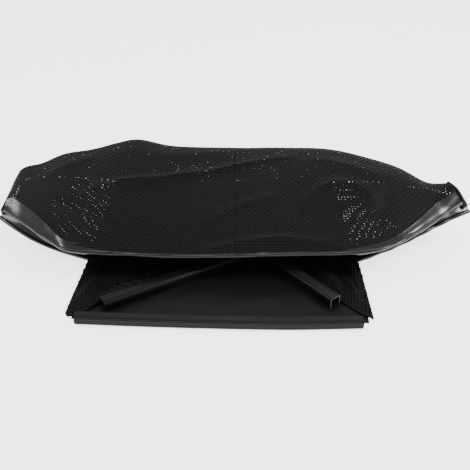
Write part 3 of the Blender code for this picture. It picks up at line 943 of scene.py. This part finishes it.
def front_section():
    deep = FRONT_DEEP
    tall = FRONT_TALL
    wall = 1.6
    outer = [
        (-deep, tall), (-0.7, tall), (0.0, tall - 1.0), (-0.1, tall - 1.7), (-1.0, tall - 2.1),
        (-0.1, tall - 2.6),
        (0.0, tall - 5.2), (-0.5, tall - 5.6), (0.0, tall - 6.0), (0.0, 5.4), (-0.5, 5.0), (0.0, 4.6),
        (0.0, 3.4),
        (-0.8, 1.4), (-2.6, 0.2), (-4.0, 0.0), (-deep, 0.0), (-deep, wall), (-3.8, wall), (-2.2, 3.0),
        (-1.8, 5.0), (-1.8, tall - 2.8), (-2.6, tall - wall), (-deep, tall - wall),
    ]
    return rounded(outer, 0.6, 3)


def side_section(lines):
    """The U with its legs down: fine lines on its back, or a well rounded near shoulder."""
    half = SIDE_WIDE / 2
    tall = SIDE_TALL
    inner = half - SIDE_WALL
    web = tall - SIDE_WALL
    if lines:
        outline = []
        for turn in np.linspace(180, 90, 9):
            angle = math.radians(turn)
            outline.append((-half + 3.6 + 3.6 * math.cos(angle), tall - 3.6 + 3.6 * math.sin(angle)))
        for across in (-3.6, -1.6, 0.4, 2.4, 4.4):
            outline += [(across - 0.45, tall), (across, tall - 0.5), (across + 0.45, tall)]
        outline += rounded([(half, 0), (0, tall), (half, tall), (half, 0)], 1.2, 5)[10:15]
        outline += [(half, 0), (inner, 0), (inner, web), (-inner + 1.5, web), (-inner, web - 1.6)]
        return outline + [(-inner, 0), (-half, 0)]
    shoulder = []
    for turn in np.linspace(90, 0, 9):
        angle = math.radians(turn)
        shoulder.append((half - 6.0 + 6.0 * math.cos(angle), tall - 6.0 + 6.0 * math.sin(angle)))
    within = []
    for turn in np.linspace(0, 90, 7):
        angle = math.radians(turn)
        within.append((half - 6.0 + 4.4 * math.cos(angle), tall - 6.0 + 4.4 * math.sin(angle)))
    far = rounded([(-inner, 0), (-half, 0), (-half, tall), (0, tall)], 1.5, 6)[6:18]
    return far + shoulder + [(half, 0.0), (inner, 0.0)] + within + [(-inner, web), (-inner, 0.0)]


def clean(section):
    """Drops repeated points, which would make slivers."""
    out = []
    for p in section:
        if not out or np.linalg.norm(np.array(p) - np.array(out[-1])) > 0.02:
            out.append(p)
    return out


def channels():
    line = smooth_line(FRONT_LINE, 90)
    front = swept("front_channel_strip", clean(front_section()), line, CHANNEL)
    finish_piece(front, "front_channel", ["front_binding"])
    seam = line[4:-4] + np.array([0, FRONT_DEEP - 3.0, FRONT_TALL + 0.1])
    upright = np.tile([0.0, 0.0, 1.0], (len(seam), 1))
    row = stitches("front_channel_seam", seam - np.array([0, 0, 0.12]), normal=upright)
    finish_piece(row, "front_channel", ["front_binding_stitches"])
    for tag, foot, heading, side in (
        ("left", LEFT_FOOT, LEFT_HEADING, -1),
        ("right", RIGHT_FOOT, RIGHT_HEADING, 1),
    ):
        ahead = np.array([math.cos(heading), math.sin(heading), 0.0])
        path = [np.array(foot) + ahead * d for d in np.linspace(0, SIDE_LONG, 60)]
        strip = swept(tag + "_channel_strip", clean(side_section(tag == "right")), path, CHANNEL)
        strip.data.materials.append(CUT_GLINTS)
        # the right channel's two end faces take the painted glints of the cut end
        if tag == "right":
            for face in strip.data.polygons[-2:]:
                face.material_index = 1
        finish_piece(strip, tag + "_channel", [tag + "_binding"])
        right = np.array([math.sin(heading), -math.cos(heading), 0.0])
        seam = np.array(path)[2:-2] + right * side * (SIDE_WIDE / 2 + 0.1) + np.array([0, 0, 4.0])
        row = stitches(tag + "_channel_seam", seam, normal=np.tile(right * side, (len(seam), 1)))
        finish_piece(row, tag + "_channel", [tag + "_binding_stitches"])


def tapes():
    flat = rounded([(-1.1, -1.6), (0.6, -1.6), (0.6, 2.4), (-1.1, 2.4)], 0.5, 3)
    foot = smooth_line([
        (-200, 392.6, 1.8), (-184, 394.2, 1.8), (-90, 394.4, 1.8), (0, 394.4, 1.8), (80, 394.4, 1.8),
        (146, 392.4, 1.8), (166, 388.0, 1.8),
    ], 80)
    made = swept("rear_tape", clean(flat), foot, TAPE)
    finish_piece(made, "base", ["rear_seam_tape"])
    stand = clean(rounded([(-1.0, -6.0), (1.0, -6.0), (1.2, 6.0), (-1.2, 6.0)], 0.8, 4))
    left = smooth_line([
        (-336.5, 194, 52), (-336.0, 206, 54), (-336.5, 240, 56), (-337.0, 276, 57), (-334.0, 295, 49),
    ], 50)
    made = swept("left_crease_tape", stand, left, TAPE)
    finish_piece(made, "base", ["left_side_tape"])
    right = smooth_line([(335.5, 205, 55), (329.0, 213, 64), (322.5, 222, 73), (313.5, 237, 76)], 40)
    made = swept("right_crease_tape", stand, right, TAPE)
    finish_piece(made, "base", ["right_side_tape"])


# ---------------------------------------------------------------- studio

def studio():
    bpy.ops.mesh.primitive_plane_add(size=12, location=(0, 2.0, -0.0003))
    ground = bpy.context.object
    ground.name = "studio_floor"
    made, tree, shader = new_material("studio_white")
    shader.inputs["Base Color"].default_value = (0.93, 0.93, 0.93, 1)
    shader.inputs["Roughness"].default_value = 0.9
    shader.inputs["Specular IOR Level"].default_value = 0.0
    shader.inputs["Emission Color"].default_value = (1.0, 1.0, 1.0, 1)
    shader.inputs["Emission Strength"].default_value = 2.4
    ground.data.materials.append(made)

    sky = bpy.data.worlds.new("studio_world")
    bpy.context.scene.world = sky
    sky.use_nodes = True
    sky.node_tree.nodes["Background"].inputs["Color"].default_value = (1.0, 1.0, 1.0, 1)
    sky.node_tree.nodes["Background"].inputs["Strength"].default_value = 1.0

    # every lamp faces the object's middle, at the origin
    for name, place, size, power in (
        ("left_box", (-1.35, -0.15, 1.30), 0.5, 12),
        ("right_box", (1.35, -0.15, 1.30), 0.5, 25),
        ("back_box", (0.1, 1.70, 1.30), 1.5, 7),
        ("front_fill", (0.1, -1.60, 0.70), 1.2, 7),
    ):
        lamp = bpy.data.lights.new(name, "AREA")
        lamp.size = size
        lamp.energy = power
        made = bpy.data.objects.new(name, lamp)
        bpy.context.scene.collection.objects.link(made)
        made.location = place
        tip = math.atan2(math.hypot(place[0], place[1]), place[2])
        made.rotation_euler = (tip, 0, math.atan2(place[1], place[0]) + math.pi / 2)

    lens = bpy.data.cameras.new("camera")
    lens.lens = 50
    lens.sensor_width = 36
    lens.clip_end = 50
    camera = bpy.data.objects.new("camera", lens)
    bpy.context.scene.collection.objects.link(camera)
    camera.location = tuple(world(CAMERA_PLACE))
    camera.rotation_euler = (math.radians(90 - CAMERA_TILT), 0, 0)
    bpy.context.scene.camera = camera


def main():
    nets = upper_layer()
    gusset_nets = gussets()
    lower = lower_layer()
    floor = floor_sheet()
    channels()
    tapes()
    studio()


main()
